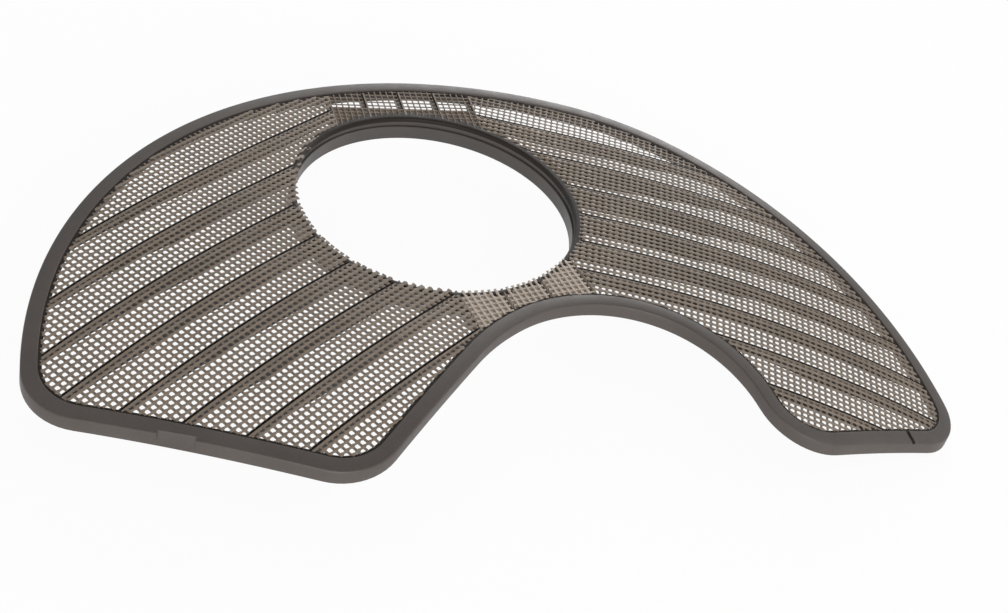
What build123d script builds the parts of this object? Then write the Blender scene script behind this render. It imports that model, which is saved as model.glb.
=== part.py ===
from build123d import *
import os
from math import cos, radians, sin, tan

# Strainer plate for the floor of a dishwasher, moulded in one piece.
# Millimetres, +Z up. The origin is on the axis of the round opening, in the plane of the collar's lower edge.
# +X runs along the grid strips of the right wing, and +Y points to the crown of the outer edge.

# Round opening and its collar
bore_radius = 53.6
collar_wall = 2.0
collar_height = 9.5
bore_length = 5.7
groove_height = 0.7
groove_depth = 0.6

# Domed plate: level around the opening, then falling away along a large arc in flat facets
flat_radius = 70.0
dome_radius = 440.0
dome_reach = 20.0
dome_bands = 5
dome_sides = 24
grid_thickness = 1.6

# Solid rim round the plate
rim_width = 5.5
rim_rise = 0.6
rim_depth = 4.8

# Outer edge, in tangent arcs from the crown down each side
crown_x = 47.0
crown_y = 88.9
left_shoulder_radius = 198.0
left_shoulder_turn = 17.0
left_flank_radius = 163.0
left_flank_turn = 110.0
right_shoulder_radius = 126.0
right_shoulder_turn = 21.0
right_flank_radius = 204.0
right_flank_turn = 75.0

# Front of the left wing, and the arch cut out beside it
front_edge_y = -146.3
front_edge_angle = -2.9
arch_x = 81.0
arch_crown_y = -39.5
arch_radius = 53.9
arch_left_turn = 50.0
leg_blend_radius = 92.0
leg_blend_turn = 17.0

# Front edge of the right wing
foot_edge_y = -161.1
foot_edge_angle = 28.7

# Corner radii of the outline
left_corner_radius = 25.0
leg_corner_radius = 22.0
foot_corner_radius = 22.5
tip_corner_radius = 20.0

# Grid strips, and the ribs under the lines between them
left_strip_angle = 56.5
right_strip_angle = 0.0
strip_pitch = 17.5
strip_start = 12.0
strips_behind = 4
strips_ahead = 4
slots_per_strip = 5
slot_width = 2.1
slot_margin = 0.6
shortest_slot = 8.0
rib_width = 1.4
rib_depth = 5.5
rib_foot = 0.5

# Narrow grid fields behind and in front of the opening
back_bridge_angle = 110.0
back_bridge_centre = 0.0
back_bridge_pitch = 15.0
back_bridge_panels = 4
front_bridge_angle = 122.0
front_bridge_centre = -9.3
front_bridge_pitch = 17.2
front_bridge_panels = 3
slots_per_panel = 4

# Marks across the rim: a shallow flat on the left wing, and a slit on the right wing
flat_mark_x = -64.0
flat_mark_width = 13.0
flat_mark_depth = 0.5
slit_mark_x = 187.0
slit_mark_width = 1.6
slit_mark_depth = 1.0
slit_mark_angle = -61.0

# Lengths past the plate in plan and in height, used for cuts
reach = 300.0
cut_depth = 60.0
cut_clearance = 1.0


def plan_point(angle, along, across):
    """Point at a distance along a direction through the opening's axis, and at a distance to its left."""
    a = radians(angle)
    return (along * cos(a) - across * sin(a), along * sin(a) + across * cos(a))


def turned(point, angle):
    """Place in plan, turned about the vertical."""
    return Location(Vector(*point), (0, 0, angle))


# Body under the plate's top surface, faceted along the dome's arc, with its level top at the origin
with BuildPart() as dome_body:
    with BuildSketch():
        Circle(reach)
    extrude(amount=-cut_depth)
    for band in range(dome_bands):
        tilt = dome_reach * (band + 0.5) / dome_bands
        fall = Vector(sin(radians(tilt)), 0, cos(radians(tilt)))
        touch = Vector(flat_radius, 0, -dome_radius) + fall * dome_radius
        for side in range(dome_sides):
            heading = 360 * side / dome_sides
            facet = Plane(touch.rotate(Axis.Z, heading), z_dir=fall.rotate(Axis.Z, heading))
            split(bisect_by=facet, keep=Keep.BOTTOM)


def dome(height):
    """Body under the plate's top surface, moved to a height over the opening."""
    return Pos(0, 0, height) * dome_body.part


def domed_band(above, below):
    """Solid between two copies of the plate's top surface, moved up and down, around the opening."""
    with BuildPart() as band:
        add(dome(collar_height + above))
        add(dome(collar_height - below), mode=Mode.SUBTRACT)
        with BuildSketch():
            Circle(bore_radius + collar_wall / 2)
        extrude(amount=cut_depth, both=True, mode=Mode.SUBTRACT)
    return band.part


def panel_lines(centre, pitch, panels):
    """Distances of the lines on both sides of each panel of a bridge."""
    return [centre + pitch * (n - panels / 2) for n in range(panels + 1)]


def bars(angle, distances, width, first=-reach, last=reach, mode=Mode.ADD):
    """Straight bars at the given distances from the opening's axis, put into the sketch in hand."""
    places = [turned(plan_point(angle, (first + last) / 2, across), angle) for across in distances]
    with Locations(*places):
        Rectangle(last - first, width, mode=mode)


def slot_distances(lines, pitch, count):
    """Distances of the slots that fill each strip, evenly spread between its two lines."""
    step = pitch / (count + 1)
    return [line + step * (n + 1) for line in lines for n in range(count)]


# Outline of the plate, with its arch and corners
with BuildSketch() as outline:
    with BuildLine():
        left_shoulder = JernArc((crown_x, crown_y), (-1, 0), left_shoulder_radius, left_shoulder_turn)
        left_flank = JernArc(left_shoulder @ 1, left_shoulder % 1, left_flank_radius, left_flank_turn)
        right_shoulder = JernArc((crown_x, crown_y), (1, 0), right_shoulder_radius, -right_shoulder_turn)
        right_flank = JernArc(right_shoulder @ 1, right_shoulder % 1, right_flank_radius, -right_flank_turn)
        Line(left_flank @ 1, right_flank @ 1)
    make_face()
    with BuildLine():
        arch_left = JernArc((arch_x, arch_crown_y), (-1, 0), arch_radius, arch_left_turn)
        leg_blend = JernArc(arch_left @ 1, arch_left % 1, leg_blend_radius, leg_blend_turn)
        leg_edge = Line(leg_blend @ 1, leg_blend @ 1 + (leg_blend % 1) * reach)
        arch_right = JernArc((arch_x, arch_crown_y), (1, 0), arch_radius, -90)
        arch_side = Line(arch_right @ 1, arch_right @ 1 + Vector(0, -reach))
        Line(leg_edge @ 1, arch_side @ 1)
    make_face(mode=Mode.SUBTRACT)
    with Locations(turned((0, front_edge_y), front_edge_angle)):
        Rectangle(2 * reach, reach, align=(Align.CENTER, Align.MAX), mode=Mode.SUBTRACT)
    with Locations(turned((arch_x, foot_edge_y + arch_x * tan(radians(foot_edge_angle))), foot_edge_angle)):
        Rectangle(reach, reach, align=(Align.MIN, Align.MAX), mode=Mode.SUBTRACT)
    fillet(outline.vertices().sort_by(Axis.Y)[:2].sort_by(Axis.X)[0], left_corner_radius)
    fillet(outline.vertices().sort_by(Axis.Y)[0], leg_corner_radius)
    arch_foot = (arch_x + arch_radius, arch_crown_y - arch_radius)
    fillet(outline.vertices().sort_by_distance(arch_foot)[0], foot_corner_radius)
    fillet(outline.vertices().sort_by(Axis.X)[-1], tip_corner_radius)

# Rim area, and the areas that the ribs and the slots may fill inside it
with BuildSketch() as rim_area:
    add(outline.sketch)
    offset(outline.sketch, -rim_width, mode=Mode.SUBTRACT)

with BuildSketch() as rib_area:
    offset(outline.sketch, slot_margin - rim_width)
    Circle(bore_radius + collar_wall / 2, mode=Mode.SUBTRACT)

with BuildSketch() as slot_area:
    offset(outline.sketch, -rim_width - slot_margin)
    Circle(bore_radius + collar_wall + slot_margin, mode=Mode.SUBTRACT)

# Lines between the grid strips, and the areas of the two wings, which meet inside the round opening
wing_lines = [strip_start + strip_pitch * n for n in range(-strips_ahead, strips_behind)]
back_lines = panel_lines(back_bridge_centre, back_bridge_pitch, back_bridge_panels)
front_lines = panel_lines(front_bridge_centre, front_bridge_pitch, front_bridge_panels)


def wing_area(side, back_edge, front_edge):
    """Plan area on one side (-1 left, 1 right) of the two bridges."""
    with BuildSketch() as area:
        with BuildLine():
            Polyline(
                plan_point(back_bridge_angle, reach, back_edge),
                plan_point(back_bridge_angle, 0, back_edge),
                plan_point(front_bridge_angle, 0, front_edge),
                plan_point(front_bridge_angle, -reach, front_edge),
                (side * reach, -reach),
                (side * reach, reach),
                close=True,
            )
        make_face()
    return area.sketch


left_area = wing_area(-1, back_lines[-1], front_lines[-1])
right_area = wing_area(1, back_lines[0], front_lines[0])

# Ribs under the lines of both wings and both bridges
with BuildSketch() as left_ribs:
    bars(left_strip_angle, wing_lines, rib_width)
    add(left_area, mode=Mode.INTERSECT)

with BuildSketch() as right_ribs:
    bars(right_strip_angle, wing_lines, rib_width)
    add(right_area, mode=Mode.INTERSECT)

with BuildSketch() as rib_plan:
    add(left_ribs.sketch)
    add(right_ribs.sketch)
    bars(back_bridge_angle, back_lines, rib_width, first=0)
    bars(front_bridge_angle, front_lines, rib_width, last=0)
    add(rib_area.sketch, mode=Mode.INTERSECT)

# Fields that the slots may fill, clear of the lines beside the bridges
bridge_clearance = rib_width + 2 * slot_margin


def slot_field(area):
    """Part of an area that lies inside the rim and off the lines of the two bridges."""
    with BuildSketch() as field:
        add(slot_area.sketch)
        add(area, mode=Mode.INTERSECT)
        bars(back_bridge_angle, back_lines, bridge_clearance, first=0, mode=Mode.SUBTRACT)
        bars(front_bridge_angle, front_lines, bridge_clearance, last=0, mode=Mode.SUBTRACT)
    return field.sketch


def square_slots(angle, distances, area, first=-reach, last=reach):
    """Slots along one direction that fill an area, each with square ends."""
    with BuildSketch() as lanes:
        bars(angle, distances, slot_width, first, last)
        add(area, mode=Mode.INTERSECT)
    with BuildSketch() as plan:
        for lane in lanes.faces():
            length = lane.area / slot_width - slot_width
            if length > shortest_slot:
                with Locations(turned(lane.center(), angle)):
                    Rectangle(length, slot_width)
    return plan.sketch


# Slots between the lines, with one more strip ahead of the first line
wing_slots = slot_distances([wing_lines[0] - strip_pitch] + wing_lines, strip_pitch, slots_per_strip)
back_slots = slot_distances(back_lines[:-1], back_bridge_pitch, slots_per_panel)
front_slots = slot_distances(front_lines[:-1], front_bridge_pitch, slots_per_panel)

with BuildSketch() as slots:
    add(square_slots(left_strip_angle, wing_slots, slot_field(left_area)))
    add(square_slots(right_strip_angle, wing_slots, slot_field(right_area)))
    add(square_slots(back_bridge_angle, back_slots, slot_area.sketch, first=0))
    add(square_slots(front_bridge_angle, front_slots, slot_area.sketch, last=0))

# Collar round the opening, with a shadow groove above the bore
with BuildPart() as collar:
    with BuildSketch(Plane.XZ):
        with BuildLine():
            Polyline(
                (bore_radius, 0),
                (bore_radius + collar_wall, 0),
                (bore_radius + collar_wall, collar_height),
                (bore_radius, collar_height),
                (bore_radius, bore_length + groove_height),
                (bore_radius + groove_depth, bore_length + groove_height),
                (bore_radius + groove_depth, bore_length),
                (bore_radius, bore_length),
                close=True,
            )
        make_face()
    revolve(axis=Axis.Z)

# Rim, following the dome
with BuildPart() as rim:
    add(domed_band(rim_rise, rim_depth))
    extrude(rim_area.sketch, amount=cut_depth, both=True, mode=Mode.INTERSECT)

# Ribs: tops inside the plate, feet level with the collar near the opening and then a fixed depth below the dome
with BuildPart() as rib_relief:
    add(dome(collar_height - rib_depth))
    with BuildSketch(Plane.XY.offset(rib_foot)):
        Circle(reach)
    extrude(amount=-cut_depth, mode=Mode.INTERSECT)

with BuildPart() as ribs:
    add(dome(collar_height - grid_thickness / 2))
    add(rib_relief.part, mode=Mode.SUBTRACT)
    extrude(rib_plan.sketch, amount=cut_depth, both=True, mode=Mode.INTERSECT)

# Marks across the rim
flat_mark_y = front_edge_y + flat_mark_x * tan(radians(front_edge_angle))
slit_mark_y = foot_edge_y + slit_mark_x * tan(radians(foot_edge_angle))

with BuildSketch() as flat_mark_plan:
    with Locations(turned((flat_mark_x, flat_mark_y), front_edge_angle)):
        Rectangle(flat_mark_width, 3 * rim_width)
    add(rim_area.sketch, mode=Mode.INTERSECT)

with BuildSketch() as slit_mark_plan:
    with Locations(turned((slit_mark_x, slit_mark_y), slit_mark_angle)):
        Rectangle(4 * rim_width, slit_mark_width)
    add(rim_area.sketch, mode=Mode.INTERSECT)

with BuildPart() as flat_mark:
    add(domed_band(rim_rise + cut_clearance, flat_mark_depth - rim_rise))
    extrude(flat_mark_plan.sketch, amount=cut_depth, both=True, mode=Mode.INTERSECT)

with BuildPart() as slit_mark:
    add(domed_band(rim_rise + cut_clearance, slit_mark_depth - rim_rise))
    extrude(slit_mark_plan.sketch, amount=cut_depth, both=True, mode=Mode.INTERSECT)

# Whole moulding
with BuildPart() as filter_plate:
    add(domed_band(0, grid_thickness))
    extrude(outline.sketch, amount=cut_depth, both=True, mode=Mode.INTERSECT)
    extrude(slots.sketch, amount=cut_depth, both=True, mode=Mode.SUBTRACT)
    add(ribs.part)
    add(rim.part)
    add(collar.part)
    add(flat_mark.part, mode=Mode.SUBTRACT)
    add(slit_mark.part, mode=Mode.SUBTRACT)

filter_plate.part.label = "filter_plate"
os.makedirs("parts", exist_ok=True)
export_step(filter_plate.part, "parts/filter_plate.step")
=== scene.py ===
from math import atan2, copysign, cos, degrees, hypot, pi, radians, sin, sqrt

import bpy
from mathutils import Matrix, Vector


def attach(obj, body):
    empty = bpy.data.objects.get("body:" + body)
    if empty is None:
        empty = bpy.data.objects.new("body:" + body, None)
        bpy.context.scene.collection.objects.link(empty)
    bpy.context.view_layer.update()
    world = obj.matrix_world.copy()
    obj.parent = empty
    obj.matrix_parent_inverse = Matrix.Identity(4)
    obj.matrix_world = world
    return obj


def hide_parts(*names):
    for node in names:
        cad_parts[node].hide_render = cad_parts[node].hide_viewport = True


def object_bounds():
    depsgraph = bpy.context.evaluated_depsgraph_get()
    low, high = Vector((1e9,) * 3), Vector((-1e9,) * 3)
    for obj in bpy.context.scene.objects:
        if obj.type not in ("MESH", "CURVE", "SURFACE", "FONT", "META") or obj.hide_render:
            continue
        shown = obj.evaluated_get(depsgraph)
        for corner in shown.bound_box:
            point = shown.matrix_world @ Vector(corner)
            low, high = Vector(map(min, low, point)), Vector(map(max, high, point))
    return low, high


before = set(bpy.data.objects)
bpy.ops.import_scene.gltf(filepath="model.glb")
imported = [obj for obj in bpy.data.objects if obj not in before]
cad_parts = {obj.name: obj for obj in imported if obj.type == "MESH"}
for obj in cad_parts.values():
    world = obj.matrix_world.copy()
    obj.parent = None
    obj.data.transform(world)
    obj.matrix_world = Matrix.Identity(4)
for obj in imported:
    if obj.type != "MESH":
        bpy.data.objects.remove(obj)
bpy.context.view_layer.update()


# Rim: the solid edge that runs all round the plate and stiffens it.
# It is moulded in one with the grid, in dark satin plastic with lightly eased edges,
# and its outline is a kidney with an arch cut out of the front.
mm = 0.001
hair = 0.01 * mm
merge_distance = 0.001 * mm
crown = Vector((47 * mm, 88.9 * mm))
left_shoulder_radius, left_shoulder_turn = 198 * mm, 17
left_flank_radius = 163 * mm
right_shoulder_radius, right_shoulder_turn = 126 * mm, 21
right_flank_radius = 204 * mm
front_edge_start, front_edge_angle = Vector((0, -146.3 * mm)), -2.9
foot_edge_start, foot_edge_angle = Vector((0, -161.1 * mm)), 28.7
arch_crown, arch_radius, arch_left_turn = Vector((81 * mm, -39.5 * mm)), 53.9 * mm, 50
leg_blend_radius, leg_blend_turn = 92 * mm, 17
left_corner_radius = 25 * mm
leg_corner_radius = 22 * mm
foot_corner_radius = 22.5 * mm
tip_corner_radius = 20 * mm
outline_step = 2.5 * mm

collar_height = 9.5 * mm
flat_radius = 70 * mm
dome_radius = 440 * mm

rim_width = 5.5 * mm
rim_rise = 0.6 * mm
rim_depth = 4.8 * mm
rim_outer_ease = 0.6 * mm
rim_inner_ease = 0.45 * mm
rim_foot_ease = 0.3 * mm
flat_x = -64 * mm
flat_width = 12.5 * mm
flat_depth = 1.5 * mm
flat_height = 4 * mm
slit_spot = Vector((187.3 * mm, -55.3 * mm))
slit_length = 6.5 * mm
slit_width = 1.7 * mm
slit_depth = 1.3 * mm
notch_block = 8 * mm
smooth_angle = radians(35)


def toward(angle):
    """Unit vector in plan at an angle in degrees from +X."""
    return Vector((cos(radians(angle)), sin(radians(angle))))


def heading(vector):
    """Angle of a vector in plan, in degrees from 0 to 360."""
    return degrees(atan2(vector.y, vector.x)) % 360


def corner_on_arc(edge_start, edge_angle, radius, arc_centre, span, side):
    """Centre of the corner that rounds a straight edge into an arc, a span from its centre."""
    run = toward(edge_angle)
    offset = edge_start + toward(edge_angle + 90) * radius - arc_centre
    along = offset.dot(run)
    reach = sqrt(along * along - offset.length_squared + span ** 2)
    return arc_centre + offset + run * (side * reach - along)


def corner_on_line(line_start, line_angle, edge_start, edge_angle, radius):
    """Centre of the corner that rounds a line into a straight edge, to the right of the line."""
    run, inward = toward(line_angle), toward(edge_angle + 90)
    start = line_start + toward(line_angle - 90) * radius
    return start + run * ((radius - (start - edge_start).dot(inward)) / run.dot(inward))


left_shoulder_centre = crown - Vector((0, left_shoulder_radius))
left_flank_centre = left_shoulder_centre + toward(90 + left_shoulder_turn) * (
    left_shoulder_radius - left_flank_radius)
right_shoulder_centre = crown - Vector((0, right_shoulder_radius))
right_flank_centre = right_shoulder_centre + toward(90 - right_shoulder_turn) * (
    right_shoulder_radius - right_flank_radius)
arch_centre = arch_crown - Vector((0, arch_radius))
blend_angle = 90 + arch_left_turn
leg_angle = blend_angle + leg_blend_turn
leg_blend_centre = arch_centre + toward(blend_angle) * (arch_radius - leg_blend_radius)
leg_start = leg_blend_centre + toward(leg_angle) * leg_blend_radius

left_corner = corner_on_arc(front_edge_start, front_edge_angle, left_corner_radius,
                            left_flank_centre, left_flank_radius - left_corner_radius, -1)
leg_corner = corner_on_line(leg_start, leg_angle + 90, front_edge_start, front_edge_angle,
                            leg_corner_radius)
foot_corner = corner_on_arc(foot_edge_start, foot_edge_angle, foot_corner_radius,
                            arch_centre, arch_radius + foot_corner_radius, 1)
tip_corner = corner_on_arc(foot_edge_start, foot_edge_angle, tip_corner_radius,
                           right_flank_centre, right_flank_radius - tip_corner_radius, 1)
left_meet = heading(left_corner - left_flank_centre)
foot_meet = heading(foot_corner - arch_centre)
tip_meet = heading(tip_corner - right_flank_centre) + 360

outline_arcs = [
    (left_shoulder_centre, left_shoulder_radius, 90, 90 + left_shoulder_turn),
    (left_flank_centre, left_flank_radius, 90 + left_shoulder_turn, left_meet),
    (left_corner, left_corner_radius, left_meet, 270 + front_edge_angle),
    (leg_corner, leg_corner_radius, 270 + front_edge_angle, leg_angle + 180),
    (leg_blend_centre, leg_blend_radius, leg_angle, blend_angle),
    (arch_centre, arch_radius, blend_angle, foot_meet),
    (foot_corner, foot_corner_radius, foot_meet + 180, 270 + foot_edge_angle),
    (tip_corner, tip_corner_radius, 270 + foot_edge_angle, tip_meet),
    (right_flank_centre, right_flank_radius, tip_meet, 450 - right_shoulder_turn),
    (right_shoulder_centre, right_shoulder_radius, 450 - right_shoulder_turn, 450),
]


def edge_loop(inset):
    """Points round the plate's outline, moved inwards, ending where they start."""
    points = []
    for centre, radius, start, end in outline_arcs:
        bow = radius - inset if end > start else radius + inset
        first = centre + toward(start) * bow
        if points and (first - points[-1]).length > hair:
            last = points[-1]
            steps = round((first - last).length / outline_step)
            points += [last.lerp(first, n / steps) for n in range(1, steps)]
        steps = max(2, round(abs(radians(end - start)) * radius / outline_step))
        turns = [start + (end - start) * n / steps for n in range(steps + 1)]
        arc = [centre + toward(turn) * bow for turn in turns]
        if points and (arc[0] - points[-1]).length < hair:
            arc = arc[1:]
        points += arc
    return points


def dome_top(point):
    """Height of the plate's top, level round the opening and then falling along the dome's arc."""
    out = max(hypot(point[0], point[1]) - flat_radius, 0)
    return collar_height - dome_radius + sqrt(dome_radius ** 2 - out ** 2)


def swept(name, rows):
    """Piece with a row of vertices for each list of points, closed where its ends meet."""
    bpy.ops.object.select_all(action="DESELECT")
    bpy.ops.mesh.primitive_grid_add(x_subdivisions=len(rows[0]) - 1, y_subdivisions=len(rows) - 1)
    piece = bpy.context.object
    piece.name = name
    places = [value for row in rows for point in row for value in point]
    piece.data.vertices.foreach_set("co", places)
    bpy.ops.object.mode_set(mode="EDIT")
    bpy.ops.mesh.select_all(action="SELECT")
    bpy.ops.mesh.remove_doubles(threshold=merge_distance)
    bpy.ops.mesh.normals_make_consistent(inside=False)
    bpy.ops.object.mode_set(mode="OBJECT")
    return piece


def eased(corner, before, after, ease, steps=4):
    """Points of a quarter round that eases a profile's corner between the points beside it."""
    corner, before, after = Vector(corner), Vector(before), Vector(after)
    start = corner + (before - corner).normalized() * ease
    end = corner + (after - corner).normalized() * ease
    centre = start + end - corner
    turns = [n / steps * pi / 2 for n in range(steps + 1)]
    return [centre + (start - centre) * cos(turn) + (end - centre) * sin(turn) for turn in turns]


rim_corners = [(0, -rim_depth), (0, rim_rise), (rim_width, rim_rise), (rim_width, -rim_depth)]
rim_eases = [rim_foot_ease, rim_outer_ease, rim_inner_ease, rim_foot_ease]
rim_profile = []
for n, ease in enumerate(rim_eases):
    after = rim_corners[(n + 1) % len(rim_corners)]
    rim_profile += eased(rim_corners[n], rim_corners[n - 1], after, ease)
rim_profile.append(rim_profile[0])
rim_rows = []
for inset, rise in rim_profile:
    rim_rows.append([(point.x, point.y, dome_top(point) + rise) for point in edge_loop(inset)])
rim = swept("rim", rim_rows)


def notched(piece, place, turn, size):
    """Cuts a notch out of a piece with a turned block."""
    bpy.ops.object.select_all(action="DESELECT")
    bpy.ops.mesh.primitive_cube_add(size=1, location=place, rotation=turn, scale=size)
    block = bpy.context.object
    cut = piece.modifiers.new("notch", "BOOLEAN")
    cut.operation = "DIFFERENCE"
    cut.solver = "EXACT"
    cut.object = block
    bpy.context.view_layer.objects.active = piece
    bpy.ops.object.modifier_apply(modifier=cut.name)
    bpy.data.objects.remove(block)
    piece.select_set(True)


def rim_point(x, y, rise=0):
    """Point at a height over the rim's top."""
    return Vector((x, y, dome_top((x, y)) + rim_rise + rise))


flat_along, flat_out = toward(front_edge_angle), toward(front_edge_angle - 90)
flat_spot = front_edge_start + flat_along * (flat_x / flat_along.x) - flat_out * flat_depth / 2
flat_slope = atan2(flat_depth, flat_height)
flat_face = Vector((*(flat_out * cos(flat_slope)), sin(flat_slope)))
notched(rim, rim_point(*flat_spot, -flat_height / 2) + flat_face * notch_block / 2,
        (-flat_slope, 0, radians(front_edge_angle)), (flat_width, notch_block, notch_block))
notched(rim, rim_point(*slit_spot, notch_block / 2 - slit_depth),
        (0, 0, radians(foot_edge_angle)), (slit_width, slit_length, notch_block))
bpy.ops.object.shade_smooth_by_angle(angle=smooth_angle)


cloud_scale, cloud_range = 45, (0.9, 1.1)
speckle_scale, speckle_range = 1500, (0.93, 1.07)
gloss_scale, gloss_range = 160, (0.9, 1.12)
grain_scale, grain_height = 2600, 0.1 * mm
noise_range = (0.3, 0.7)
plastic_ior = 1.5


def moulded_skin():
    """Node group for a moulding's skin: cloudy tone, a fine spark-eroded grain and uneven gloss."""
    group = bpy.data.node_groups.new("moulded_skin", "ShaderNodeTree")
    sockets = [
        ("INPUT", "Color", "NodeSocketColor"),
        ("INPUT", "Dull", "NodeSocketFloat"),
        ("INPUT", "Grain", "NodeSocketFloat"),
        ("OUTPUT", "Color", "NodeSocketColor"),
        ("OUTPUT", "Roughness", "NodeSocketFloat"),
        ("OUTPUT", "Height", "NodeSocketFloat"),
    ]
    for side, name, kind in sockets:
        group.interface.new_socket(name, in_out=side, socket_type=kind)
    nodes, links = group.nodes, group.links
    inputs, outputs = nodes.new("NodeGroupInput"), nodes.new("NodeGroupOutput")
    place = nodes.new("ShaderNodeTexCoord").outputs["Object"]

    def noise(scale, detail):
        node = nodes.new("ShaderNodeTexNoise")
        node.inputs["Scale"].default_value = scale
        node.inputs["Detail"].default_value = detail
        links.new(place, node.inputs["Vector"])
        return node.outputs["Fac"]

    def ranged(value, limits):
        node = nodes.new("ShaderNodeMapRange")
        node.inputs["From Min"].default_value, node.inputs["From Max"].default_value = noise_range
        node.inputs["To Min"].default_value, node.inputs["To Max"].default_value = limits
        links.new(value, node.inputs["Value"])
        return node.outputs["Result"]

    def maths(operation, first, second):
        node = nodes.new("ShaderNodeMath")
        node.operation = operation
        links.new(first, node.inputs[0])
        links.new(second, node.inputs[1])
        return node.outputs[0]

    cloud = ranged(noise(cloud_scale, detail=3), cloud_range)
    speckle = ranged(noise(speckle_scale, detail=2), speckle_range)
    sheen = ranged(noise(gloss_scale, detail=4), gloss_range)
    grain = noise(grain_scale, detail=3)
    tint = nodes.new("ShaderNodeVectorMath")
    tint.operation = "SCALE"
    links.new(inputs.outputs["Color"], tint.inputs[0])
    links.new(maths("MULTIPLY", cloud, speckle), tint.inputs["Scale"])
    links.new(tint.outputs["Vector"], outputs.inputs["Color"])
    links.new(maths("MULTIPLY", inputs.outputs["Dull"], sheen), outputs.inputs["Roughness"])
    links.new(maths("MULTIPLY", inputs.outputs["Grain"], grain), outputs.inputs["Height"])
    return group


skin = moulded_skin()


def dark_plastic(name, color, dull, grain, bump, gloss=0.5):
    """Dark satin plastic with its own tone, dullness, grain and gloss."""
    material = bpy.data.materials.new(name)
    material.use_nodes = True
    nodes, links = material.node_tree.nodes, material.node_tree.links
    shader = nodes["Principled BSDF"]
    shader.inputs["IOR"].default_value = plastic_ior
    shader.inputs["Specular IOR Level"].default_value = gloss
    cover = nodes.new("ShaderNodeGroup")
    cover.node_tree = skin
    cover.inputs["Color"].default_value = (*color, 1)
    cover.inputs["Dull"].default_value = dull
    cover.inputs["Grain"].default_value = grain
    relief = nodes.new("ShaderNodeBump")
    relief.inputs["Strength"].default_value = bump
    relief.inputs["Distance"].default_value = grain_height
    links.new(cover.outputs["Color"], shader.inputs["Base Color"])
    links.new(cover.outputs["Roughness"], shader.inputs["Roughness"])
    links.new(cover.outputs["Height"], relief.inputs["Height"])
    links.new(relief.outputs["Normal"], shader.inputs["Normal"])
    return material


def finish_piece(piece, material):
    """Gives a piece its material and puts it in the moulding's place."""
    piece.data.materials.clear()
    piece.data.materials.append(material)
    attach(piece, "root")
    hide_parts("filter_plate")


rim_color = (0.064, 0.052, 0.045)
rim_plastic = dark_plastic("rim_plastic", rim_color, dull=0.5, grain=0.5, bump=0.25)
finish_piece(rim, rim_plastic)


# Border: a narrow band along the inside of the rim, which carries the ends of the grid's bars.
# It is moulded with them and set low, so a groove in real shade lies between the rim and the grid;
# its colour, far darker than the rim's, is painted shade that deepens that groove.
border_width = 1.3 * mm
border_top = 0.05 * mm
border_bottom = -0.7 * mm
border_ease = 0.2 * mm
border_bite = 1 * mm
groove_width = 0.85 * mm
# Painted shade: the border is the rim's plastic coloured far darker, to stand in for the shade in
# the groove.
border_shade_color = (0.024, 0.019, 0.016)

border_start, border_end = rim_width - border_bite, rim_width + border_width
border_profile = [
    (border_start, border_bottom),
    (border_start, border_top),
    (border_end - border_ease, border_top),
    (border_end, border_top - border_ease),
    (border_end, border_bottom),
]
border_rows = []
for inset, rise in border_profile + border_profile[:1]:
    border_rows.append([(point.x, point.y, dome_top(point) + rise) for point in edge_loop(inset)])
border = swept("border", border_rows)
bpy.ops.object.shade_smooth_by_angle(angle=smooth_angle)
border_shade_plastic = dark_plastic("border_shade_plastic", border_shade_color,
                              dull=0.55, grain=0.3, bump=0.15, gloss=0.2)
finish_piece(border, border_shade_plastic)


# Collar: the short wall round the opening, which the cylinder filter drops into.
# It is part of the same moulding, set back behind a shadow groove under the lip.
bore_radius = 53.6 * mm
collar_wall = 2 * mm
bore_length = 5.7 * mm
groove_depth = 0.9 * mm
flange_under = 8.7 * mm
flange_least = 0.4 * mm
flange_spread = 2.6 * mm
flange_turn = 15
flange_shift, flange_range = 0.3, 0.9
collar_ease = 0.25 * mm
collar_sides = 240
collar_color = (0.056, 0.048, 0.043)


def flange_width(angle):
    """Width of the smooth flange beside the opening, which runs out towards the front."""
    share = (sin(radians(angle + flange_turn)) + flange_shift) / flange_range
    return flange_least + flange_spread * min(max(share, 0), 1)


def turned(name, profile):
    """Ring turned from a profile of radii and heights, each moved out by a share of the flange."""
    rows = []
    for radius, height, share in profile + profile[:1]:
        row = []
        for n in range(collar_sides + 1):
            angle = 360 * (n % collar_sides) / collar_sides
            spoke = toward(angle) * (radius + share * (flange_width(angle) - flange_least))
            row.append((spoke.x, spoke.y, height))
        rows.append(row)
    ring = swept(name, rows)
    bpy.ops.object.shade_smooth_by_angle(angle=smooth_angle)
    return ring


collar = turned("collar", [
    (bore_radius, collar_ease, 0),
    (bore_radius + collar_ease, 0, 0),
    (bore_radius + collar_wall - collar_ease, 0, 0),
    (bore_radius + collar_wall, collar_ease, 0),
    (bore_radius + collar_wall, flange_under, 0),
    (bore_radius + groove_depth, flange_under, 0),
    (bore_radius + groove_depth, bore_length, 0),
    (bore_radius + collar_ease, bore_length, 0),
    (bore_radius, bore_length - collar_ease, 0),
])
collar_plastic = dark_plastic("collar_plastic", collar_color, dull=0.4, grain=0.3, bump=0.15)
finish_piece(collar, collar_plastic)


# Lip: the rounded edge at the top of the opening, with the smooth flange behind it.
# It is moulded on the collar, and the ridges of the grid run into it, furthest out at the back. Its
# colour, far darker than the collar's, is painted shade.
groove_top = 7.9 * mm
lip_height = 9.7 * mm
lip_round = 0.9 * mm
lip_facet = 0.3 * lip_round
flange_height = 9.55 * mm
# Painted shade: the lip is the collar's plastic coloured far darker, for the shade on its rounded
# top and flange.
lip_shade_color = (0.02, 0.015, 0.012)

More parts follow.
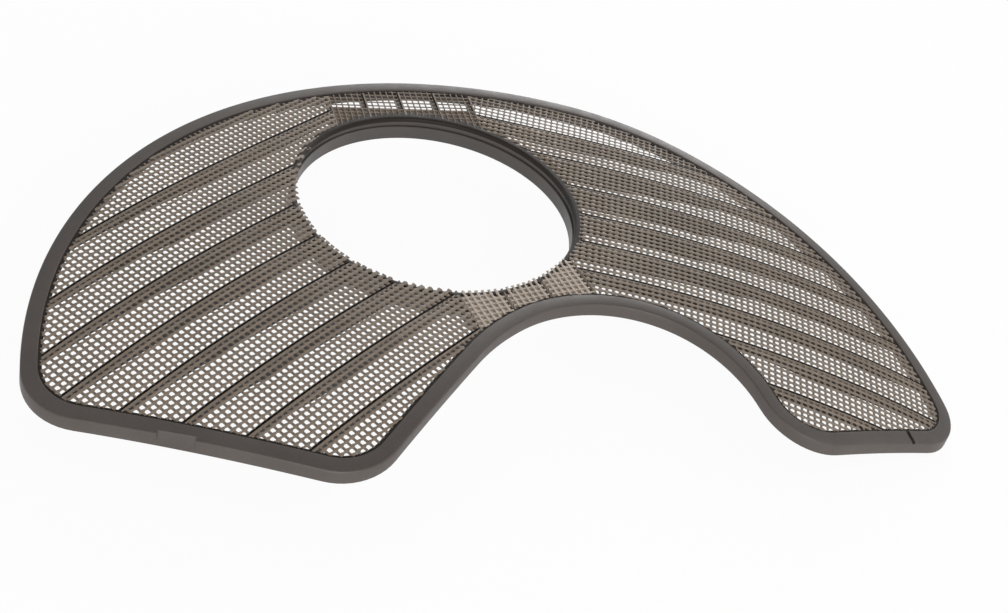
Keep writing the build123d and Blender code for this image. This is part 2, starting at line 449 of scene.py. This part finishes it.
lip = turned("lip", [
    (bore_radius + collar_wall, groove_top, 0),
    (bore_radius + collar_wall, flange_under, 1),
    (bore_radius + collar_wall, flange_height - collar_ease, 1),
    (bore_radius + collar_wall - collar_ease, flange_height, 1),
    (bore_radius + 2 * lip_round, lip_height, 0),
    (bore_radius + lip_round, lip_height, 0),
    (bore_radius + lip_facet, lip_height - lip_facet, 0),
    (bore_radius, lip_height - lip_round, 0),
    (bore_radius, groove_top + collar_ease, 0),
    (bore_radius + collar_ease, groove_top, 0),
])
lip_shade_plastic = dark_plastic("lip_shade_plastic", lip_shade_color, dull=0.5, grain=0.3, bump=0.15, gloss=0.15)
finish_piece(lip, lip_shade_plastic)


# Ribs: deep webs under the lines between the grid's strips, each with a narrow groove in its top.
# They are moulded with the plate, level along their feet near the opening and shallower by the rim.
left_strip_angle = 56.5
right_strip_angle = 0
strip_pitch = 17.5 * mm
strip_start = 12 * mm
strips_behind = 4
strips_ahead = 4
back_bridge_angle = 110
back_bridge_pitch = 15 * mm
back_bridge_strips = 4
front_bridge_angle = 122
front_bridge_pitch = 17.2 * mm
front_bridge_centre = -9.3 * mm
front_bridge_strips = 3
plate_reach = 300 * mm
rib_width = 1.4 * mm
rib_foot_width = 1.0 * mm
rib_depth = 5.5 * mm
rib_end_depth = 3.3 * mm
rib_taper = 32 * mm
rib_foot = 0.5 * mm
rib_top = -0.45 * mm
rib_bite = 1.2 * mm
rib_seat = 1.6 * mm
# Painted shade: the ribs are the plate's plastic coloured near black, for the shade under the grid
# and in their grooves.
rib_shade_color = (0.026, 0.021, 0.018)
slot_width = 0.65 * mm
slot_bottom = -1.2 * mm
slot_wall = 0.25 * mm
slot_wall_top = 0.1 * mm
bar_length = 5 * mm
shortest_bar = 1.5 * mm
most_sides = 9
bar_smooth_angle = radians(40)
mouth_step = 3
sliver = 0.01

wing_lines = [strip_start + strip_pitch * n for n in range(-strips_ahead, strips_behind)]
back_bridge_lines = [back_bridge_pitch * (n - back_bridge_strips / 2)
                     for n in range(back_bridge_strips + 1)]
front_bridge_lines = [front_bridge_centre + front_bridge_pitch * (n - front_bridge_strips / 2)
                      for n in range(front_bridge_strips + 1)]


def plan_point(angle, along, across):
    """Point in plan along a direction through the opening's axis, and to its left."""
    return toward(angle) * along + toward(angle + 90) * across


def wing_loop(side, back_line, front_line):
    """Plan area of one wing, -1 left or 1 right, up to the lines beside the two bridges."""
    return [
        plan_point(back_bridge_angle, plate_reach, back_line),
        plan_point(back_bridge_angle, 0, back_line),
        plan_point(front_bridge_angle, 0, front_line),
        plan_point(front_bridge_angle, -plate_reach, front_line),
        Vector((side * plate_reach, -plate_reach)),
        Vector((side * plate_reach, plate_reach)),
        plan_point(back_bridge_angle, plate_reach, back_line),
    ]


def bridge_loop(angle, lines, first, last, spread=0):
    """Plan area of a bridge between its two outer lines, or spread past them."""
    return [
        plan_point(angle, first, lines[0] - spread),
        plan_point(angle, last, lines[0] - spread),
        plan_point(angle, last, lines[-1] + spread),
        plan_point(angle, first, lines[-1] + spread),
        plan_point(angle, first, lines[0] - spread),
    ]


def stretches(start, run, loop):
    """Stretches of a straight line that lie inside a closed loop of points."""
    side = Vector((-run.y, run.x))
    found = []
    for a, b in zip(loop, loop[1:]):
        before, after = (a - start).dot(side), (b - start).dot(side)
        if (before < 0) != (after < 0):
            found.append((a.lerp(b, before / (before - after)) - start).dot(run))
    found.sort()
    return list(zip(found[::2], found[1::2]))


def shared(first, second):
    """Stretches that two lists of stretches have in common."""
    pairs = [(max(a, c), min(b, d)) for a, b in first for c, d in second]
    return [(a, b) for a, b in pairs if b > a]


def mouth_loop(clearance, share):
    """Plan loop round the opening, a clearance outside it and a share of the flange further."""
    loop = []
    for angle in range(0, 360 + mouth_step, mouth_step):
        spread = flange_width(angle) - flange_least
        loop.append(toward(angle) * (bore_radius + clearance + share * spread))
    return loop


def runs_in(angle, distances, field, edge, mouth, shortest=shortest_bar):
    """Distance of each bar across a field, and where it starts and ends between rim and opening."""
    run = toward(angle)
    runs = []
    for across in distances:
        start = plan_point(angle, 0, across)
        inside = shared(stretches(start, run, edge), stretches(start, run, field))
        for first, last in stretches(start, run, mouth):
            inside = shared(inside, [(-plate_reach, first), (last, plate_reach)])
        runs += [(across, a, b) for a, b in inside if b - a > shortest]
    return runs


def bar_profile(width, foot_width, top, bottom, ease, centre=0):
    """Cross-section of a bar with its upper edges eased."""
    return [
        (centre - foot_width / 2, bottom),
        (centre - width / 2, top - ease),
        (centre - width / 2 + ease, top),
        (centre + width / 2 - ease, top),
        (centre + width / 2, top - ease),
        (centre + foot_width / 2, bottom),
    ]


def bar_stock(profile, length, flare=0, flare_width=0):
    """Points and faces of a short length of bar along X, which may flare about its middle."""
    bpy.ops.object.select_all(action="DESELECT")
    bpy.ops.mesh.primitive_circle_add(vertices=len(profile), radius=1, fill_type="NOTHING")
    stock = bpy.context.object
    for vertex, (across, height) in zip(stock.data.vertices, profile):
        vertex.co = (-length / 2, across, height)
    bpy.ops.object.mode_set(mode="EDIT")
    bpy.ops.mesh.select_all(action="SELECT")
    shoulder = (length - flare_width) / 2
    for step in (shoulder, flare_width, shoulder) if flare else (length,):
        bpy.ops.mesh.extrude_region_move(TRANSFORM_OT_translate={"value": (step, 0, 0)})
    bpy.ops.object.mode_set(mode="OBJECT")
    for vertex in stock.data.vertices:
        if abs(vertex.co.x) < length / 2 - hair:
            vertex.co.y += copysign(flare, vertex.co.y)
    points = [tuple(vertex.co) for vertex in stock.data.vertices]
    polygons = [tuple(polygon.vertices) for polygon in stock.data.polygons]
    bpy.data.objects.remove(stock)
    return points, polygons


def dome_height(point, height):
    """Height of a point that keeps its distance from the dome."""
    return dome_top(point) + height


def plain(point):
    """Share by which a bar of even width grows at a point."""
    return 1


def laid(name, batches, height_at=dome_height, swell_at=plain):
    """Piece of copies of a length of bar, end to end in every run and bent to the dome."""
    vertices, faces = [], []
    for angle, length, (points, polygons), runs in batches:
        for across, first, last in runs:
            first_copy, last_copy = round(first / length + sliver), round(last / length - sliver)
            for n in range(first_copy, last_copy + 1):
                start = len(vertices)
                for along, offset, height in points:
                    reach = min(max(n * length + along, first), last)
                    offset *= swell_at(plan_point(angle, reach, across))
                    point = plan_point(angle, reach, across + offset)
                    vertices.append((point.x, point.y, height_at(point, height)))
                faces += [[start + v for v in polygon] for polygon in polygons]
    mesh = bpy.data.meshes.new(name)
    mesh.from_pydata(vertices, [], faces)
    piece = bpy.data.objects.new(name, mesh)
    bpy.context.scene.collection.objects.link(piece)
    bpy.ops.object.select_all(action="DESELECT")
    piece.select_set(True)
    bpy.context.view_layer.objects.active = piece
    bpy.ops.object.mode_set(mode="EDIT")
    bpy.ops.mesh.select_all(action="SELECT")
    bpy.ops.mesh.remove_doubles(threshold=merge_distance)
    bpy.ops.mesh.fill_holes(sides=most_sides)
    bpy.ops.mesh.select_all(action="SELECT")
    bpy.ops.mesh.normals_make_consistent(inside=False)
    bpy.ops.object.mode_set(mode="OBJECT")
    bpy.ops.object.shade_smooth_by_angle(angle=bar_smooth_angle)
    return piece


left_loop = wing_loop(-1, back_bridge_lines[-1], front_bridge_lines[-1])
right_loop = wing_loop(1, back_bridge_lines[0], front_bridge_lines[0])
back_loop = bridge_loop(back_bridge_angle, back_bridge_lines, 0, plate_reach)
front_loop = bridge_loop(front_bridge_angle, front_bridge_lines, -plate_reach, 0)
back_wide_loop = bridge_loop(back_bridge_angle, back_bridge_lines, 0, plate_reach, rib_width)
front_wide_loop = bridge_loop(front_bridge_angle, front_bridge_lines, -plate_reach, 0, rib_width)
line_fields = [
    (left_strip_angle, wing_lines, left_loop),
    (right_strip_angle, wing_lines, right_loop),
    (back_bridge_angle, back_bridge_lines, back_wide_loop),
    (front_bridge_angle, front_bridge_lines, front_wide_loop),
]


def line_bars(profile, edge, mouth):
    """Bars of one profile along every line of the wings and the bridges."""
    stock = bar_stock(profile, bar_length)
    return [(angle, bar_length, stock, runs_in(angle, lines, field, edge, mouth))
            for angle, lines, field in line_fields]


rib_ends = edge_loop(rim_width)


def rib_height(point, height):
    """Height of a rib's point: its foot is level near the opening, and rises to meet the rim."""
    top = dome_top(point)
    if height > hair - rib_depth:
        return top + height
    from_rim = min((Vector(point) - end).length for end in rib_ends)
    depth = max(rib_depth, top - rib_foot)
    return top - rib_end_depth - (depth - rib_end_depth) * min(from_rim / rib_taper, 1)


slot_front, slot_back = rib_width / 2 - slot_width, rib_width / 2
rib_profile = [
    (-rib_foot_width / 2, -rib_depth),
    (-rib_width / 2, rib_top),
    (slot_front, rib_top),
    (slot_front, slot_bottom),
    (slot_back, slot_bottom),
    (slot_back, slot_wall_top),
    (slot_back + slot_wall, slot_wall_top),
    (slot_back + slot_wall, slot_bottom),
    (rib_foot_width / 2, -rib_depth),
]
rib_edge = edge_loop(rim_width - rib_bite)
rib_mouth = mouth_loop(rib_seat, 0)
ribs = laid("ribs", line_bars(rib_profile, rib_edge, rib_mouth), rib_height)
rib_shade_plastic = dark_plastic("rib_shade_plastic", rib_shade_color, dull=0.5, grain=0.3, bump=0.15, gloss=0.2)
finish_piece(ribs, rib_shade_plastic)


# Lands: plain bands on the lines between the strips, each in front of the groove in its rib's top.
# They are moulded with the grid, on top of the ribs, and the cross bars end in them.
land_width = 0.75 * mm
land_top = 0.15 * mm
land_bottom = -0.6 * mm
land_ease = 0.15 * mm
ridge_overhang = 0.3 * mm
# Painted light: the grid is one moulding with the rim but coloured far lighter, for the light its
# bar tops catch.
grid_lit_color = (0.188, 0.148, 0.113)

land_centre = slot_front - land_width / 2
land_profile = bar_profile(land_width, land_width, land_top, land_bottom, land_ease, land_centre)
ridge_mouth = mouth_loop(-ridge_overhang, 1)
grid_edge = edge_loop(rim_width + groove_width)
grid_lit_plastic = dark_plastic("grid_lit_plastic", grid_lit_color, dull=0.5, grain=0.3, bump=0.15)
lands = laid("lands", line_bars(land_profile, grid_edge, ridge_mouth))
finish_piece(lands, grid_lit_plastic)


# Grid: two layers of thin bars moulded crosswise, which leave rounded square holes between them.
# The ridges of the top layer run along the strips and flare where the cross bars pass under them.
# The wings' bars thicken towards the collar, and the bridges have a solid floor beside it.
hole_pitch = 2.5 * mm
strip_rows = 7
back_bridge_rows = 6
ridge_width = 0.5 * mm
ridge_foot_width = 0.6 * mm
ridge_top = 0.5 * mm
ridge_bottom = -0.05 * mm
ridge_ease = 0.15 * mm
ridge_flare = 0.32 * mm
ramp_length = 2 * mm
ramp_drop = 0.4 * mm
ramp_least = 0.5 * mm
shortest_ridge = 6 * mm
cross_width = 0.85 * mm
shortest_cross = 0.1 * mm
cross_top = 0.15 * mm
cross_bottom = -0.25 * mm
cross_ease = 0.12 * mm
thin_width = 0.45 * mm
solid_top = -0.3 * mm
solid_bottom = -0.7 * mm
solid_gap = 0.02 * mm
solid_reach = 62 * mm
left_swell, left_swell_reach = 0.55, 46 * mm
right_swell, right_swell_reach = 0.35, 35 * mm
open_share, low_share = 0.75, 0.5
# Painted light: the front bridge is the grid's plastic coloured lighter still, for the brighter
# light that falls on it.
bridge_lit_color = (0.42, 0.352, 0.292)

ridge_profile = bar_profile(ridge_width, ridge_foot_width, ridge_top, ridge_bottom, ridge_ease)
ridge_stock = bar_stock(ridge_profile, hole_pitch, ridge_flare, cross_width)
cross_profile = bar_profile(cross_width, cross_width, cross_top, cross_bottom, cross_ease)
cross_stock = bar_stock(cross_profile, bar_length)
thin_ridge_profile = bar_profile(thin_width, thin_width, ridge_top, ridge_bottom, ridge_ease)
thin_ridge_stock = bar_stock(thin_ridge_profile, hole_pitch)
thin_cross_profile = bar_profile(thin_width, thin_width, cross_top, cross_bottom, cross_ease)
thin_cross_stock = bar_stock(thin_cross_profile, bar_length)
solid_width = hole_pitch - solid_gap
solid_profile = bar_profile(solid_width, solid_width, solid_top, solid_bottom, hair)
solid_stock = bar_stock(solid_profile, bar_length)


def pitched(offset, pitch):
    """Distances at one pitch across the whole plate."""
    count = round(plate_reach / pitch)
    return [offset + pitch * n for n in range(-count, count + 1)]


def split_at(lines, runs):
    """Runs of cross bars, broken where they pass over the grooves behind the lands."""
    pieces = []
    for across, first, last in runs:
        cuts = [cut for line in lines if first < line < last - slot_back
                for cut in (line, line + slot_back)]
        ends = [first] + cuts + [last]
        pairs = zip(ends[::2], ends[1::2])
        pieces += [(across, a, b) for a, b in pairs if b - a > shortest_cross]
    return pieces


def ridge_height(point, height):
    """Height of a ridge's point, which ramps down on to the collar's flange where that is wide."""
    spread = flange_width(heading(Vector(point))) - flange_least
    from_flange = hypot(*point) - bore_radius - spread
    ramp = min(max(1 - from_flange / ramp_length, 0), 1) if spread > ramp_least else 0
    return dome_top(point) + height - ramp * ramp_drop


def thickened(point, most, reach):
    """Share by which the bars grow towards the collar."""
    from_collar = point.length - bore_radius - collar_wall
    return 1 + most * min(max(1 - from_collar / reach, 0), 1)


def left_share(point):
    """Share by which the bars of the left wing grow at a point."""
    return thickened(point, left_swell, left_swell_reach)


def right_share(point):
    """Share by which the right wing's bars grow; they are slight in the strip along the back."""
    if point.y > wing_lines[-1]:
        return open_share
    return thickened(point, right_swell, right_swell_reach)


def right_height(point, height):
    """Height of a point of the right wing's bars, which lie low in the strip along the back."""
    return ridge_height(point, height * low_share if point.y > wing_lines[-1] else height)


back_floor = bridge_loop(back_bridge_angle, back_bridge_lines, 0, solid_reach)
stocks, thin_stocks = (ridge_stock, cross_stock), (thin_ridge_stock, thin_cross_stock)
wing_row, front_row = strip_pitch / strip_rows, front_bridge_pitch / strip_rows
back_row = back_bridge_pitch / back_bridge_rows
bridge_lit_plastic = dark_plastic("bridge_lit_plastic", bridge_lit_color, dull=0.42, grain=0.3, bump=0.15)
fields = [
    ("left_grid", left_strip_angle, left_loop, wing_lines, wing_row,
     stocks, ridge_height, left_share, None, grid_lit_plastic),
    ("right_grid", right_strip_angle, right_loop, wing_lines, wing_row,
     stocks, right_height, right_share, None, grid_lit_plastic),
    ("back_grid", back_bridge_angle, back_loop, back_bridge_lines, back_row,
     thin_stocks, ridge_height, plain, back_floor, grid_lit_plastic),
    ("front_grid", front_bridge_angle, front_loop, front_bridge_lines, front_row,
     stocks, ridge_height, plain, front_loop, bridge_lit_plastic),
]
for name, angle, field, lines, pitch, bars, height_at, swell_at, floor_loop, plastic in fields:
    along_stock, under_stock = bars
    distances = [distance for distance in pitched(lines[0], pitch)
                 if min(abs(distance - line) for line in lines) > pitch / 2]
    ridges = runs_in(angle, distances, field, grid_edge, ridge_mouth, shortest_ridge)
    cross_distances = pitched(0, hole_pitch)
    crosses = split_at(lines, runs_in(angle + 90, cross_distances, field, grid_edge, rib_mouth))
    batches = [
        (angle, hole_pitch, along_stock, ridges),
        (angle + 90, bar_length, under_stock, crosses),
    ]
    if floor_loop:
        solids = runs_in(angle + 90, cross_distances, floor_loop, grid_edge, rib_mouth)
        batches.append((angle + 90, bar_length, solid_stock, solids))
    grid = laid(name, batches, height_at, swell_at)
    finish_piece(grid, plastic)


# Studio: a white floor under soft light, and a camera at the photograph's place.
floor_size = 6
floor_color, floor_dull = (0.9, 0.9, 0.9, 1), 0.9
floor_glow, floor_glow_seen = 0.45, 0.94
white = (1, 1, 1, 1)
sky_low, sky_high = 0.2, 0.65
sky_low_strength, sky_high_strength = 0.95, 0.18
aim, back_aim = (0.03, -0.03, 0), (0.03, 0.03, 0)

floor_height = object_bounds()[0].z
bpy.ops.object.select_all(action="DESELECT")
bpy.ops.mesh.primitive_plane_add(size=floor_size, location=(0, 0, floor_height))
floor = bpy.context.object
floor.name = "floor"

floor_white = bpy.data.materials.new("floor_white")
floor_white.use_nodes = True
nodes, links = floor_white.node_tree.nodes, floor_white.node_tree.links
paint = nodes["Principled BSDF"]
paint.inputs["Base Color"].default_value = floor_color
paint.inputs["Roughness"].default_value = floor_dull
glow = nodes.new("ShaderNodeEmission")
glow.inputs["Strength"].default_value = 1
seen = nodes.new("ShaderNodeLightPath")
share = nodes.new("ShaderNodeMapRange")
share.inputs["To Min"].default_value = floor_glow
share.inputs["To Max"].default_value = floor_glow_seen
either = nodes.new("ShaderNodeMath")
either.operation = "MAXIMUM"
mix = nodes.new("ShaderNodeMixShader")
links.new(seen.outputs["Is Camera Ray"], either.inputs[0])
links.new(seen.outputs["Is Glossy Ray"], either.inputs[1])
links.new(either.outputs[0], share.inputs["Value"])
links.new(share.outputs["Result"], mix.inputs["Fac"])
links.new(paint.outputs["BSDF"], mix.inputs[1])
links.new(glow.outputs["Emission"], mix.inputs[2])
links.new(mix.outputs["Shader"], nodes["Material Output"].inputs["Surface"])
floor.data.materials.append(floor_white)

world = bpy.data.worlds.new("studio")
bpy.context.scene.world = world
world.use_nodes = True
nodes, links = world.node_tree.nodes, world.node_tree.links
sky = nodes["Background"]
sky.inputs["Color"].default_value = white
direction = nodes.new("ShaderNodeSeparateXYZ")
links.new(nodes.new("ShaderNodeTexCoord").outputs["Generated"], direction.inputs["Vector"])
height = nodes.new("ShaderNodeMapRange")
height.inputs["From Min"].default_value = sky_low
height.inputs["From Max"].default_value = sky_high
height.inputs["To Min"].default_value = sky_low_strength
height.inputs["To Max"].default_value = sky_high_strength
links.new(direction.outputs["Z"], height.inputs["Value"])
links.new(height.outputs["Result"], sky.inputs["Strength"])
backdrop = nodes.new("ShaderNodeBackground")
backdrop.inputs["Color"].default_value = white
backdrop.inputs["Strength"].default_value = 1
seen = nodes.new("ShaderNodeLightPath")
mix = nodes.new("ShaderNodeMixShader")
links.new(seen.outputs["Is Camera Ray"], mix.inputs["Fac"])
links.new(sky.outputs["Background"], mix.inputs[1])
links.new(backdrop.outputs["Background"], mix.inputs[2])
links.new(mix.outputs["Shader"], nodes["World Output"].inputs["Surface"])


def soft_light(name, place, target, size, power):
    """Square soft light at a place, aimed at a target."""
    bpy.ops.object.light_add(type="AREA", location=place)
    lamp = bpy.context.object
    lamp.name = name
    lamp.data.size = size
    lamp.data.energy = power
    lamp.rotation_euler = (Vector(target) - Vector(place)).to_track_quat("-Z", "Y").to_euler()


soft_light("key_light", (0.9, 0.1, 0.9), aim, size=0.9, power=5)
soft_light("fill_light", (-0.6, 0.3, 1.1), aim, size=0.9, power=2)
soft_light("front_light", (0.25, -1.3, 0.25), aim, size=0.8, power=14)
soft_light("back_light", (0.15, 1.3, 0.35), back_aim, size=0.8, power=9)

camera_place = Vector((-5.9, -501.7, 365.4)) * mm
camera_right = Vector((0.97452, 0.08509, 0.20755))
camera_up = Vector((-0.21496, 0.61877, 0.75559))
camera_back = Vector((-0.06414, -0.78095, 0.62129))
bpy.ops.object.camera_add()
camera = bpy.context.object
turn = Matrix((camera_right, camera_up, camera_back)).transposed().to_4x4()
camera.matrix_world = Matrix.Translation(camera_place) @ turn
camera.data.sensor_fit = "HORIZONTAL"
camera.data.sensor_width = 36
camera.data.lens = 57.88
camera.data.clip_start = 10 * mm
bpy.context.scene.camera = camera
bpy.context.scene.view_settings.view_transform = "Standard"
